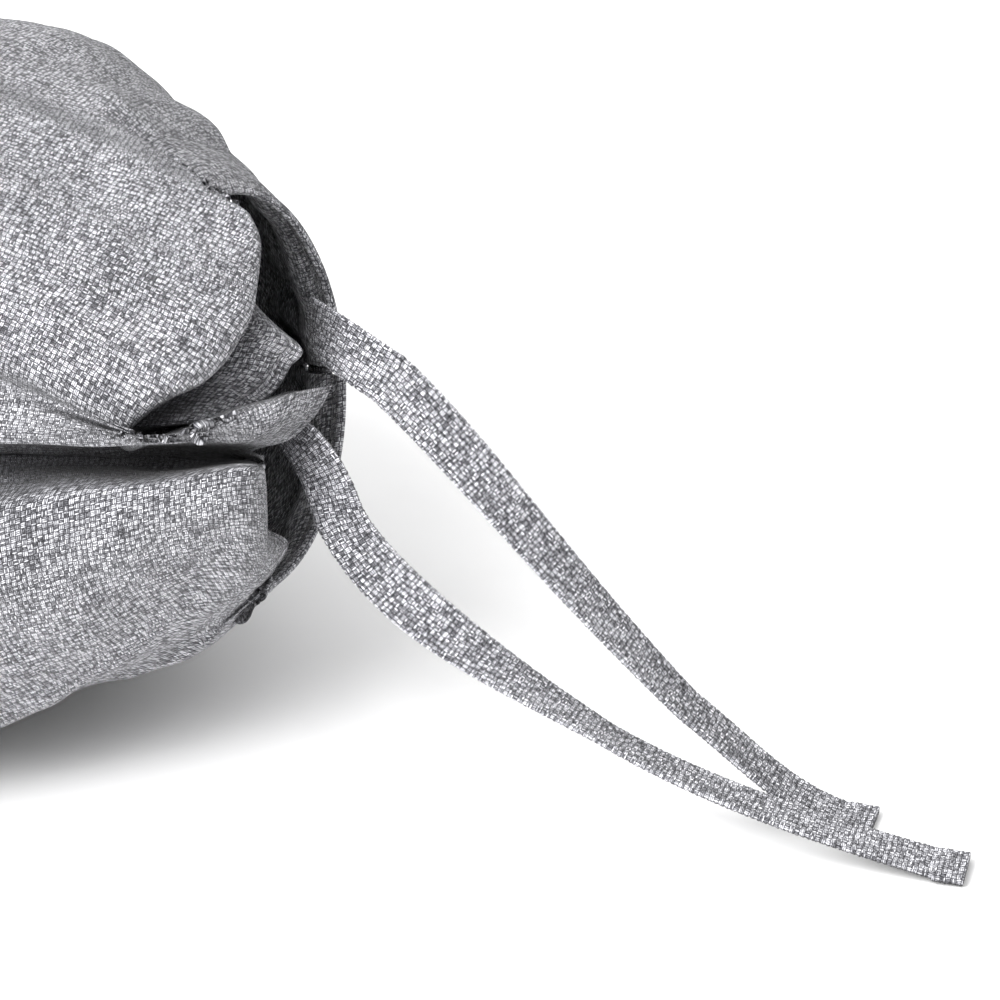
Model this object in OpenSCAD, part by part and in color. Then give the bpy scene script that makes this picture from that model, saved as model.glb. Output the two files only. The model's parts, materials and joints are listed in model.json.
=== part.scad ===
// Drawstring laundry bag, filled and lying on its side with the mouth pulled shut.
// +X runs along the bag to the mouth, +Z is up, and -Y is the side with the casing's opening.
// The origin is on the flat patch that the bag lies on, below the middle of the body.

/* [Bag] */
// Width of the filled body
body_w = 270; // [250:2:290]
// Height of the filled body as it lies
body_h = 210; // [195:1:220]
// Length from the base to the middle of the mouth
bag_l = 400; // [380:5:430]
// Thickness of the fabric wall
wall_t = 2; // [1.6:0.1:2.4]
// Turn of the side seams about the bag's axis, which lifts the near one
seam_turn = -20; // [-26:1:0]
// Depth by which the lying belly is pressed flat
sag = 6; // [4:0.5:9]
// Outward crown of the base panel
base_crown = 10; // [6:1:14]

/* [Mouth] */
// Diameter of the pulled-shut mouth at its edge
mouth_d = 124; // [118:1:130]
// Height of the middle of the mouth
mouth_z = 121; // [116:1:124]
// Angle by which the mouth looks up
mouth_tilt = 13; // [8:1:16]
// Angle by which the mouth looks towards the near side
mouth_turn = 6; // [0:1:9]
// Length over which the top and the sides gather into the mouth
shoulder_l = 60; // [55:1:66]
// Length over which the underside rises to the mouth
underside_l = 120; // [100:2:140]
// Width of the plain header between the mouth's edge and the first row of stitching
header_w = 5; // [4:0.5:7]
// Slope of the casing against the bag's axis
casing_slope = 36; // [34:1:40]

/* [Drawstring] */
// Width of the flat tie
tie_w = 16; // [14:0.5:16]
// Thickness of the flat tie
tie_t = 2; // [1.6:0.1:2.2]
// Length of the folded hem at each free end
hem_l = 8; // [6:0.5:10]

/* [Hidden] */

// The wall of the casing's tunnel, the room inside it for the tie, and its whole width
casing_t = 1.2;
tunnel_w = tie_w + 2.4;
tunnel_h = tie_t + 1;
seam_margin = 2.6;
casing_w = header_w + tunnel_w + seam_margin;

// Where the stations along the bag lie
mouth_x = 225;
base_x = mouth_x - bag_l;
casing_depth = tunnel_h + 2 * casing_t;
wall_gap = 0.8;
casing_x = mouth_x - (casing_w * cos(casing_slope) + casing_depth * sin(casing_slope) + wall_gap)
                     / cos(mouth_tilt);
casing_r = mouth_d / 2 + casing_w * sin(casing_slope);
shoulder_x = casing_x - shoulder_l;
rise_x = casing_x - underside_l;
base_round = 30;
base_inset = 16;
base_lean = 0.03;         // share of the mouth's tilt that the whole body has

gap = 0.4;                // clearance between neighbouring pieces
seam_angle = 0.15;        // half of the split between the two panels, in degrees
arc_steps = 26;           // facets round half of the bag
gather_power = 1.5;       // how roundly the shoulder turns into the body

// Angles round the mouth, where 90 is the far side, 180 the top and 270 the near side
opening_half = 35;
casing_from = 270 + opening_half - 360;
casing_to = 270 - opening_half;
loop_half = 120;

// Places along the two tails: inside the mouth, at its edge, at mid-length and at the free end
upper_in = [226, 30, 128];
upper_exit = [270, 5, 131];
upper_mid = [364, 10, 34];
upper_tip = [414, 15, 1.8];
lower_in = [222, -6, 118];
lower_exit = [260, -12, 91.5];
lower_mid = [346, -14, 33.5];
lower_tip = [449, -3, 2.4];

// Ways in which each tail leaves its mid-length, back towards the mouth and on to the free end
upper_back = [-44, -3, 42];
upper_on = [20, 2, -15];
lower_back = [-32, 0, 14.5];
lower_on = [36, 0, -16];

// Directions in which the tie's width lies at those places
upper_width_in = [-0.1, 0.3, 0.95];
upper_width_mouth = [0.37, 0.56, 0.74];
upper_width_mid = [-0.05, 1, 0.05];
lower_width_in = [0.45, -0.3, 0.6];
lower_width_mouth = [0.7, 0.49, 0.42];
lower_width_mid = [-0.1, 0.98, -0.15];
width_floor = [-0.1, 1, 0.03];

swing_gap = 2;            // half of the free length at the joint by the mouth
lift_gap = 3;             // half of the free length at the joint at mid-length
link_steps = 10;

thread_r = 0.4;
allowance_w = 8;
allowance_t = 1.6;
seam_end_margin = 14;
binding_w = 6;
binding_t = 3;

cloth = [0.66, 0.66, 0.69];
cloth_dark = [0.52, 0.52, 0.56];
tie_cloth = [0.72, 0.72, 0.75];
thread_colour = [0.4, 0.4, 0.43];

// A size at station x, which goes from the mouth's to the body's over a length
function gathered(x, mouth, body, length) =
    let (t = min(1, max(0, (casing_x - x) / length)))
    mouth + (body - mouth) * (1 - pow(1 - t, gather_power));

// How far the section has drawn in at the rounded edge of the base
function base_draw(x) =
    let (s = min(1, max(0, (base_x + base_round - x) / base_round)))
    base_inset * (1 - sqrt(1 - s * s));

function section_w(x) = gathered(x, casing_r, body_w / 2, shoulder_l) - base_draw(x);
function section_top(x) = gathered(x, mouth_z + casing_r, body_h, shoulder_l) - base_draw(x);
function section_low(x) = gathered(x, mouth_z - casing_r, -sag, underside_l) + base_draw(x);
function section_h(x) = (section_top(x) - section_low(x)) / 2;
function section_z(x) = (section_top(x) + section_low(x)) / 2;

// How far the mouth's tilt moves a place at station x along the bag
function leaning(x, y, z) =
    max(base_lean, min(1, (x - shoulder_x) / (casing_x - shoulder_x)))
    * (y * tan(mouth_turn) - (z - mouth_z) * tan(mouth_tilt) / cos(mouth_turn));

// A point on the bag's wall, a given depth in from its outer face
function wall_point(x, angle, depth) =
    let (y = (section_w(x) - depth) * cos(angle),
         z = max(depth, section_z(x) + (section_h(x) - depth) * sin(angle)))
    [x + leaning(x, y, z), y, z];

// Stations from the base to the casing, closer together where the wall curves
stations = [for (i = [0:5]) base_x + base_round * (1 - cos(i * 18)),
            for (i = [1:3]) base_x + base_round + i * (rise_x - base_x - base_round) / 3,
            for (i = [1:3]) rise_x + i * (shoulder_x - rise_x) / 3,
            for (i = [1:8]) shoulder_x + i * (casing_x - shoulder_x) / 8];

function bezier(p, t) =
    pow(1 - t, 3) * p[0] + 3 * pow(1 - t, 2) * t * p[1] + 3 * (1 - t) * t * t * p[2]
    + pow(t, 3) * p[3];
function bezier_slope(p, t) =
    3 * pow(1 - t, 2) * (p[1] - p[0]) + 6 * (1 - t) * t * (p[2] - p[1])
    + 3 * t * t * (p[3] - p[2]);
function unit(v) = v / norm(v);

// Builds a solid from rings of points, each turning right-handed about the way it is swept.
// Each end is closed by strips between the first half of its ring and the second half.
module skin(rings, closed = false) {
    n = len(rings[0]);
    m = len(rings);
    spans = closed ? m : m - 1;
    sides = [for (i = [0:spans - 1], j = [0:n - 1])
             let (a = i * n + j, b = i * n + (j + 1) % n, k = (i + 1) % m,
                  c = k * n + (j + 1) % n, d = k * n + j)
             each [[a, d, c], [a, c, b]]];
    last = (m - 1) * n;
    caps = closed ? [] : [for (j = [0:n / 2 - 2]) let (k = n - 1 - j)
                          each [[j, j + 1, k - 1, k],
                                [last + k, last + k - 1, last + j + 1, last + j]]];
    polyhedron(points = [for (ring = rings) each ring], faces = concat(sides, caps));
}

// Half of the bag's wall, from one angle round its section to another
module half_wall(from, to) {
    step = (to - from) / arc_steps;
    skin([for (x = stations)
          [for (i = [0:arc_steps]) wall_point(x, from + i * step, 0),
           for (i = [arc_steps:-1:0]) wall_point(x, from + i * step, wall_t)]]);
}

module front_panel() {
    color(cloth) half_wall(seam_turn + seam_angle, seam_turn + 180 - seam_angle);
}

module back_panel() {
    color(cloth) half_wall(seam_turn + 180 + seam_angle, seam_turn + 360 - seam_angle);
}

// A crowned oval disc that closes the end of the body
module base_panel() {
    rim_w = section_w(base_x) - wall_t - gap;
    rim_h = section_h(base_x) - wall_t - gap;
    shares = [0.02, 0.3, 0.55, 0.8, 1];
    points_round = 40;
    function ring(share, x) =
        [for (i = [0:points_round - 1])
         let (angle = i * 360 / points_round, y = rim_w * share * cos(angle),
              z = section_z(base_x) + rim_h * share * sin(angle))
         [x + leaning(x, y, z) - base_crown * (1 - share * share), y, z]];
    color(cloth) skin([for (s = shares) ring(s, base_x),
                       for (i = [len(shares) - 1:-1:0]) ring(shares[i], base_x + wall_t)]);
}

// Stations along the side seams, which stop short of the base's binding and of the casing
seam_stations = [for (x = stations) if (x > base_x + seam_end_margin && x < casing_x - 2 * gap) x];

// A strip along one seam, standing in from the wall between two depths and two heights beside
// the seam's own plane; angle is the seam's place round the section
module seam_strip(angle, depth_from, depth_to, side_from, side_to) {
    inner = wall_t + gap;
    skin([for (x = seam_stations)
          let (outer_end = wall_point(x, angle, inner + depth_from),
               inner_end = wall_point(x, angle, inner + depth_to),
               beside = cross([1, 0, 0], unit(inner_end - outer_end)))
          [outer_end + beside * side_to, outer_end + beside * side_from,
           inner_end + beside * side_from, inner_end + beside * side_to]]);
}

// The turned-in edges of the two panels along one side
module side_seam(angle) {
    seam_strip(angle, 0, allowance_w, -allowance_t / 2, allowance_t / 2);
}

module near_side_seam() {
    color(cloth_dark) side_seam(180 + seam_turn);
}

module far_side_seam() {
    color(cloth_dark) side_seam(seam_turn);
}

// The stitching that holds the turned-in edges together, along one face of each
module side_seam_threads() {
    start = allowance_t / 2 + 0.05;
    middle = allowance_w / 2;
    color(thread_colour) for (angle = [seam_turn, 180 + seam_turn])
        seam_strip(angle, middle - thread_r, middle + thread_r, start, start + 2 * thread_r);
}

// The bound edge that joins the base panel to the wall, inside the bag
module base_seam() {
    points_round = 60;
    x_low = base_x + wall_t + 2 * gap;
    x_high = x_low + binding_w;
    outer = wall_t + 3 * gap;
    inner = outer + binding_t;
    color(cloth_dark) skin([for (i = [0:points_round - 1])
                            let (angle = i * 360 / points_round)
                            [wall_point(x_low, angle, inner), wall_point(x_high, angle, inner),
                             wall_point(x_high, angle, outer), wall_point(x_low, angle, outer)]],
                           closed = true);
}

// Turns a section drawn as radius and distance out of the mouth about the mouth's axis
module round_mouth(from, to) {
    translate([mouth_x, 0, mouth_z]) rotate([0, 90 - mouth_tilt, -mouth_turn]) rotate([0, 0, from])
        rotate_extrude(angle = to - from, $fn = 96) children();
}

// Places a flat section on the casing's slope: x runs back from the edge and y runs inwards
module on_slope() {
    translate([mouth_d / 2, 0]) rotate(casing_slope - 90) mirror([0, 1]) children();
}

// One part of the tunnel that the tie runs in
module casing(from, to) {
    round_mouth(from, to) on_slope() difference() {
        square([casing_w, casing_depth]);
        translate([header_w, casing_t]) square([tunnel_w, tunnel_h]);
    }
}

module upper_casing() {
    color(cloth) casing(90 + seam_angle, casing_to);
}

module lower_casing() {
    color(cloth) casing(casing_from, 90 - seam_angle);
}

// One row of stitching round the casing, a given distance back from the mouth's edge
module casing_thread(back) {
    round_mouth(casing_from, casing_to) on_slope()
        translate([back, -thread_r - 0.05]) circle(thread_r, $fn = 16);
}

module casing_edge_thread() {
    color(thread_colour) casing_thread(header_w - 1);
}

module casing_seam_thread() {
    color(thread_colour) casing_thread(casing_w - seam_margin / 2);
}

// Dense stitching across the casing beside each end of its opening
module opening_bartacks() {
    tack_angle = 1.6;
    tack_h = 0.7;
    color(thread_colour) for (start = [casing_from + 1, casing_to - 1 - tack_angle])
        round_mouth(start, start + tack_angle) on_slope()
            translate([header_w + 1, -tack_h - 0.05]) square([tunnel_w - 2, tack_h]);
}

// The part of the tie that lies inside the casing
module drawstring_loop() {
    color(tie_cloth) round_mouth(90 - loop_half, 90 + loop_half) on_slope()
        translate([header_w + (tunnel_w - tie_w) / 2, casing_t + (tunnel_h - tie_t) / 2])
            square([tie_w, tie_t]);
}

// A length of the flat tie along a curve, its width turning from one direction to another
module tie_link(path, width_from, width_to, wide = tie_w, thick = tie_t, steps = link_steps) {
    skin([for (i = [0:steps])
          let (t = i / steps, along = unit(bezier_slope(path, t)),
               lean = width_from + (width_to - width_from) * t,
               across = unit(lean - along * (lean * along)) * wide / 2,
               up = cross(along, unit(across)) * thick / 2, middle = bezier(path, t))
          [middle - across - up, middle + across - up, middle + across + up, middle - across + up]]);
}

// A straight run between two places, as a curve that tie_link can follow
function straight(a, b) = [a, a + (b - a) / 3, b - (b - a) / 3, b];

// Curves of the links, each led by the pull of its neighbours
upper_root_path = [upper_in, upper_in + [4, -16, 12], upper_exit + [-22, -1, 11], upper_exit];
upper_middle_path = [upper_exit + swing_gap * [1.7, 0, -1.0], upper_exit + [27, 0, -22],
                     upper_mid + upper_back, upper_mid + lift_gap * unit(upper_back)];
upper_end_path = [upper_mid + lift_gap * unit(upper_on), upper_mid + upper_on,
                  upper_tip + [-20, -2, 4.5], upper_tip];
lower_root_path = [lower_in, lower_in + [16, -2, 4], lower_exit + [-7, 2, 22], lower_exit];
lower_middle_path = [lower_exit + swing_gap * [0.9, 0, -1.8], lower_exit + [14, 0, -28],
                     lower_mid + lower_back, lower_mid + lift_gap * unit(lower_back)];
lower_end_path = [lower_mid + lift_gap * unit(lower_on), lower_mid + lower_on,
                  lower_tip + [-26, -4, 6], lower_tip];

// The folded and stitched end of a tail, beyond the end of a link
module tail_hem(path) {
    along = unit(path[3] - path[2]);
    start = path[3] + along * 2 * gap;
    level = [along.x, along.y, 0];
    tie_link(straight(start, start + level * hem_l), width_floor, width_floor,
             wide = tie_w + 0.4, thick = tie_t + 0.8, steps = 1);
}

module upper_tail_root() {
    color(tie_cloth) tie_link(upper_root_path, upper_width_in, upper_width_mouth);
}

module upper_tail_middle() {
    color(tie_cloth) tie_link(upper_middle_path, upper_width_mouth, upper_width_mid);
}

module upper_tail_end() {
    color(tie_cloth) tie_link(upper_end_path, upper_width_mid, width_floor);
}

module upper_tail_hem() {
    color(cloth_dark) tail_hem(upper_end_path);
}

module lower_tail_root() {
    color(tie_cloth) tie_link(lower_root_path, lower_width_in, lower_width_mouth);
}

module lower_tail_middle() {
    color(tie_cloth) tie_link(lower_middle_path, lower_width_mouth, lower_width_mid);
}

module lower_tail_end() {
    color(tie_cloth) tie_link(lower_end_path, lower_width_mid, width_floor);
}

module lower_tail_hem() {
    color(cloth_dark) tail_hem(lower_end_path);
}

front_panel();
back_panel();
base_panel();
near_side_seam();
far_side_seam();
base_seam();
side_seam_threads();
upper_casing();
lower_casing();
casing_edge_thread();
casing_seam_thread();
opening_bartacks();
drawstring_loop();
upper_tail_root();
upper_tail_middle();
upper_tail_end();
upper_tail_hem();
lower_tail_root();
lower_tail_middle();
lower_tail_end();
lower_tail_hem();
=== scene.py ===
"""The looks of the drawstring laundry bag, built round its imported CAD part.

Lengths are in millimetres here and turn into metres when a mesh is made.
Angles round the bag are in degrees: 0 is the far side, 90 the top, 180 the near side, 270 the bottom.
Every patch of cloth is a grid of points: its columns run from the base to the mouth, side by side
round the bag, and its texture coordinates are metres of cloth, so that the weave keeps its size.
"""

import json
import math

import bpy
import numpy as np
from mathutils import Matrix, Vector


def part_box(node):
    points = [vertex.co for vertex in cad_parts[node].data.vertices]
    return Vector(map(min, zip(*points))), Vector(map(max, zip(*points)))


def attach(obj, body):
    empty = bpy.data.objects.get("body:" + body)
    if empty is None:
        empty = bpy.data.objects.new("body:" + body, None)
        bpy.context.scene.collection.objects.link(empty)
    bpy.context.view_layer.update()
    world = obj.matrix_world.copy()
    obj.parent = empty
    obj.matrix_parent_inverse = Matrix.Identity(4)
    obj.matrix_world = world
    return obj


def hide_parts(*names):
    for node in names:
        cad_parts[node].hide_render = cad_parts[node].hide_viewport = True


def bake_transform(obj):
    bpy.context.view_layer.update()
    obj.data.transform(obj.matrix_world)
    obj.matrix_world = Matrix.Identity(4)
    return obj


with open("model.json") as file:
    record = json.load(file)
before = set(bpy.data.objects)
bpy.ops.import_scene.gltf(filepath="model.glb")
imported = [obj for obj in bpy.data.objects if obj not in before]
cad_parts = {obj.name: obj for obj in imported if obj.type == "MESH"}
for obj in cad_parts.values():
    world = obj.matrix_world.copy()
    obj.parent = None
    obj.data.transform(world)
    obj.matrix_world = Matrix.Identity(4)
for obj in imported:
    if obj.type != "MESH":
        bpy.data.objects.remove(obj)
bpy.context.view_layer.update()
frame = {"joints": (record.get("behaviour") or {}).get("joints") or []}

MM = 0.001
SEED = 7

# ---------------------------------------------------------------- sizes taken from the frame

JOINTS = {joint["name"]: joint for joint in frame["joints"]}


def box_mm(node):
    """The lowest and highest corner of a CAD node, in millimetres."""
    low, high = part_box(node)
    return np.array(low) / MM, np.array(high) / MM


def joint_place(name):
    return np.array(JOINTS[name]["pos_m"]) / MM


def unit(vector):
    """The vector, or each vector of an array, at length 1."""
    length = np.linalg.norm(vector, axis=-1, keepdims=True)
    return vector / np.maximum(length, 1e-9)


FRONT_LOW, FRONT_HIGH = box_mm("front_panel")
BACK_LOW, BACK_HIGH = box_mm("back_panel")
BASE_X = FRONT_LOW[0]
BODY_HALF_W = (FRONT_HIGH[1] - BACK_LOW[1]) / 2
TOP_PUFF = 6
BODY_H = FRONT_HIGH[2] + TOP_PUFF
SAG = 6.0
BODY_HALF_H = (BODY_H + SAG) / 2
BODY_Z = BODY_H - BODY_HALF_H
BASE_ROUND = 30.0
BASE_INSET = 16.0
BASE_CROWN = BASE_X - box_mm("base_panel")[0][0]

# The mouth is a ring that looks forward, a little up and a little to the near side
MOUTH = joint_place("drawstring_turn")
MOUTH_OUT = unit(np.array(JOINTS["drawstring_turn"]["axis"]))
MOUTH_FAR = unit(np.array([0, 1, 0]) - MOUTH_OUT[1] * MOUTH_OUT)
MOUTH_UP = np.cross(MOUTH_OUT, MOUTH_FAR)
MOUTH_R = 62.0
CASING_W = 26.0
CASING_SLOPE = math.radians(36)
WALL_END_X = 199.0
# Each shoulder is its length along the bag and how soon it swells to the body's full size
SIDE_SHOULDER = (66.0, 1.5)
TOP_SHOULDER = (80.0, 1.4)
LOW_SHOULDER = (95.0, 1.5)
FLOOR_SOFTNESS = 5.0
WALL_T = 1.4

NEAR_SEAM = 168.0
FAR_SEAM = -20.0
NEAR_FROM, NEAR_TO = 84.0, 252.0
FOLDS_FROM, FOLDS_TO = 140.0, 180.0
ONE_TURN = 359.9

# Places in the casing, as widths back from the mouth's edge
HEM_CLOTH_T = 1.2
HEM_CREASE = 1.9
EDGE_STITCHES = 4.2
TUNNEL_STITCHES = 24.4

# One stitch of the sewing thread
STITCH_L = 2.6
STITCH_GAP = 0.9
STITCH_R = 0.34

TIE_W = 16.0
TIE_T = 1.7
TIE_STEP = 0.42

# ---------------------------------------------------------------- small maths


def smooth(value, start, end):
    """0 before start, 1 after end, and a smooth step between them."""
    share = np.clip((value - start) / (end - start), 0, 1)
    return share * share * (3 - 2 * share)


def bump(value, middle, width):
    """A bell of height 1 about the middle."""
    return np.exp(-(((value - middle) / width) ** 2))


def spline_slopes(knots, values):
    """Slopes at uneven knots along axis 0, for a smooth curve that doesn't overshoot the values."""
    rise = np.diff(values, axis=0)
    run = np.diff(knots, axis=0).reshape((-1,) + (1,) * (values.ndim - 1))
    secant = rise / run
    before, after = secant[:-1], secant[1:]
    middle = (before * run[1:] + after * run[:-1]) / (run[1:] + run[:-1])
    steepest = 2.5 * np.minimum(np.abs(before), np.abs(after))
    slopes = np.empty_like(values)
    slopes[0], slopes[-1] = secant[0], secant[-1]
    slopes[1:-1] = np.where(before * after > 0, np.clip(middle, -steepest, steepest), 0)
    return slopes


def spline(knots, values, at):
    """A smooth curve through values at the knots, read at the places in at."""
    slopes = spline_slopes(knots, values)
    span = np.clip(np.searchsorted(knots, at) - 1, 0, len(knots) - 2)
    run = knots[span + 1] - knots[span]
    t = ((at - knots[span]) / run)[:, None]
    run = run[:, None]
    return (
        (2 * t**3 - 3 * t**2 + 1) * values[span]
        + (t**3 - 2 * t**2 + t) * run * slopes[span]
        + (3 * t**2 - 2 * t**3) * values[span + 1]
        + (t**3 - t**2) * run * slopes[span + 1]
    )


def soft_noise(points, wavelength, seed):
    """Smooth random values of about -1 to 1 at points in space, the same at every run."""
    chance = np.random.default_rng(seed)
    total = np.zeros(points.shape[:-1])
    waves = 14
    for _ in range(waves):
        direction = unit(chance.normal(size=3))
        length = wavelength * chance.uniform(0.7, 1.6)
        phase = chance.uniform(0, 2 * math.pi)
        total += np.sin(points @ direction * (2 * math.pi / length) + phase)
    return total / math.sqrt(waves)


# ---------------------------------------------------------------- the surface of the bag


def ring_point(angle, radius, back):
    """Points on a circle about the mouth's axis, a distance back from the mouth."""
    turn = np.radians(angle)[..., None]
    return (
        MOUTH
        - back * MOUTH_OUT
        + radius * (np.cos(turn) * MOUTH_FAR + np.sin(turn) * MOUTH_UP)
    )


def casing_ring(angle, width):
    """Where the casing lies on its smooth side, a width back from the mouth's edge."""
    return ring_point(
        angle,
        MOUTH_R + width * math.sin(CASING_SLOPE),
        width * math.cos(CASING_SLOPE),
    )


def gathered(x, shoulder):
    """Share of the way from the mouth's size to the body's size at station x."""
    length, roundness = shoulder
    share = np.clip((WALL_END_X - x) / length, 0, 1)
    return 1 - (1 - share) ** roundness


def body_point(x, angle):
    """Points on the filled body's wall at station x."""
    turn = np.radians(angle)
    edge = np.clip((BASE_X + BASE_ROUND - x) / BASE_ROUND, 0, 1)
    drawn_in = BASE_INSET * (1 - math.sqrt(1 - edge * edge))
    end_r = MOUTH_R + CASING_W * math.sin(CASING_SLOPE)
    half_w = end_r + (BODY_HALF_W - end_r) * gathered(x, SIDE_SHOULDER) - drawn_in
    mouth_top, mouth_low = MOUTH[2] + end_r, MOUTH[2] - end_r
    top = mouth_top + (BODY_H - mouth_top) * gathered(x, TOP_SHOULDER) - drawn_in
    low = mouth_low + (-SAG - mouth_low) * gathered(x, LOW_SHOULDER) + drawn_in
    y = half_w * np.cos(turn)
    z = (top + low) / 2 + (top - low) / 2 * np.sin(turn)
    z = (z + np.sqrt(z * z + FLOOR_SOFTNESS**2)) / 2 - 1.0
    lean = -(y * MOUTH_OUT[1] + (z - MOUTH[2]) * MOUTH_OUT[2]) / MOUTH_OUT[0]
    lean *= 1 - gathered(x, (SIDE_SHOULDER[0], 1.0))
    return np.stack([x + lean, y, z], axis=-1)


# How the cloth is folded at the near side, where the tie draws it in. Each rib is an angle round
# the bag, then where its cloth lies at the last bulge of the wall, at the casing's end, half-way
# along the casing and at its edge.
RIBS = (
    (93, (229, 0, 182), (222, 12, 174), (213, 17, 166), (206, 21, 158)),
    (105, (235, -10, 170), (225, 4, 163), (218, 9, 156), (212, 12, 150)),
    (112, (236, -21, 161), (226, -8, 153), (237, -8, 148), (246, -5, 141)),
    (118, (235, -30, 157), (224, -18, 149), (236, -15, 145), (244, -10, 138)),
    (124, (233, -38, 152), (223, -25, 144), (234, -21, 140), (242, -15, 133)),
    (134, (223, -55, 145), (217, -42, 137), (228, -34, 135), (237, -27, 130)),
    (143, (215, -68, 138), (210, -56, 132), (223, -46, 132), (235, -36, 128)),
    (147.5, (218, -70, 139), (212, -54, 128), (223, -30, 126), (234, -8, 122)),
    (150.5, (221, -69, 139), (231, -50, 135), (237, -25, 131), (241, 4, 122)),
    (153.5, (224, -69, 139), (236, -42, 134), (247, -23, 134), (253, 2, 127)),
    (156, (225, -69, 139), (237, -45, 133), (248, -27, 130), (252, -3, 123)),
    (159, (226, -69, 139), (238, -48, 133), (247, -32, 127), (251, -10, 121)),
    (163, (226, -68, 137), (238, -50, 131), (244, -37, 125), (247, -20, 118)),
    (166.5, (213, -48, 122), (228, -32, 117), (232, -29, 116), (237, -26, 115)),
    (169.5, (214, -46, 117), (234, -26, 112), (233, -16, 106), (233, -5, 101)),
    (174, (234, -57, 124), (246, -44, 121), (242, -29, 113), (231, -17, 107)),
    (190, (241, -58, 115), (247, -44, 110), (243, -28, 100), (232, -15, 94)),
    (205, (239, -54, 101), (246, -40, 96), (242, -25, 88), (233, -10, 83)),
    (228, (232, -44, 79), (240, -30, 77), (240, -16, 72), (239, 0, 71)),
    (240, (224, -38, 61), (232, -24, 63), (235, -17, 63), (237, -10, 65)),
)


def folded_row(angle, place, smooth_row):
    """One row of points round the mouth: as given on the far side and folded on the near side."""
    ends = np.array([NEAR_FROM - 6, NEAR_FROM, NEAR_TO, NEAR_TO + 6])
    at_ends = np.stack(
        [np.interp(ends, angle, smooth_row[:, axis]) for axis in range(3)], axis=1
    )
    knots = np.concatenate([ends[:2], [rib[0] for rib in RIBS], ends[2:]])
    values = np.concatenate(
        [at_ends[:2], np.array([rib[place] for rib in RIBS], float), at_ends[2:]]
    )
    near = spline(knots, values, np.clip(angle, knots[0], knots[-1]))
    inside = ((angle > NEAR_FROM) & (angle < NEAR_TO))[:, None]
    return np.where(inside, near, smooth_row)


def near_share(angle):
    """1 where the cloth is folded at the near side, 0 on the smooth side."""
    return smooth(angle, NEAR_FROM, NEAR_FROM + 15) * (1 - smooth(angle, NEAR_TO - 15, NEAR_TO))


def body_rows(angle):
    """Rows of control points from the base to the casing's end, with their folds pressed in."""
    edge_turns = np.radians([0, 15, 32, 50, 70, 90])
    stations = list(BASE_X + BASE_ROUND * (1 - np.cos(edge_turns)))
    stations += [-95.0, -50.0, 0.0, 45.0, 85.0, 115.0, 140.0, 160.0, 175.0]
    rows = []
    for x in stations:
        row = body_point(x, angle)
        outward = unit(row - np.array([x, 0, BODY_Z]))
        deep = 22 * smooth(x, 40, 150)
        valley = deep * (bump(angle, 168, 3.5) + 0.6 * bump(angle, 173, 2.5))
        crease = 7 * smooth(x, 90, 150) * bump(angle, 138 - (175 - x) * 0.5, 8)
        corner = 7 * bump(x, 168, 14) * bump(angle, 237, 5)
        rows.append(row - outward * (valley + crease - corner)[:, None])
    return rows


def columns_to_rim(angle):
    """The bag's outer surface as control rows from the base to the mouth's edge."""
    rows = body_rows(angle)
    casing_end = casing_ring(angle, CASING_W)
    middle = (rows[-1] + casing_end) / 2
    last_bulge = middle + 2 * unit(middle - MOUTH + 60 * MOUTH_OUT)
    mouth_rows = (
        last_bulge, casing_end, casing_ring(angle, CASING_W / 2), casing_ring(angle, 0.0)
    )
    rows += [folded_row(angle, place, row) for place, row in enumerate(mouth_rows, 1)]
    return np.array(rows)


def along_columns(control, per_span):
    """Smooth curves through each column's control points, as many points to each span."""
    step = np.linalg.norm(np.diff(control, axis=0), axis=-1).mean(axis=1)
    knots = np.concatenate([[0], np.cumsum(np.sqrt(step))])
    at = np.concatenate(
        [np.linspace(a, b, per_span, endpoint=False) for a, b in zip(knots[:-1], knots[1:])]
        + [knots[-1:]]
    )
    flat = control.reshape(len(control), -1)
    return spline(knots, flat, at).reshape(len(at), -1, 3)


def resample(columns, wall_rows, casing_rows):
    """Columns with rows that draw closer towards the casing, then rows at even widths of it."""
    lengths = np.linalg.norm(np.diff(columns, axis=0), axis=-1)
    travelled = np.concatenate([np.zeros((1, lengths.shape[1])), np.cumsum(lengths, axis=0)])
    share = np.linspace(0, 1, wall_rows)
    share = 1 - (1 - share) ** 1.3
    result = np.empty((wall_rows + casing_rows, columns.shape[1], 3))
    from_rim = np.empty(result.shape[:2])
    for i in range(columns.shape[1]):
        whole = travelled[-1, i]
        wall = share * (whole - CASING_W)
        casing = whole - CASING_W + np.linspace(0, CASING_W, casing_rows + 1)[1:]
        at = np.concatenate([wall, casing])
        from_rim[:, i] = whole - at
        for axis in range(3):
            result[:, i, axis] = np.interp(at, travelled[:, i], columns[:, i, axis])
    return result, from_rim


def grid_normals(grid):
    """Outward unit normals of a closed grid, from its neighbours along rows and columns."""
    along = np.gradient(grid, axis=0)
    around = np.roll(grid, -1, axis=1) - np.roll(grid, 1, axis=1)
    return unit(np.cross(around, along))


GATHERS = 18
GATHERS_DEEPEST = 330


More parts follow.
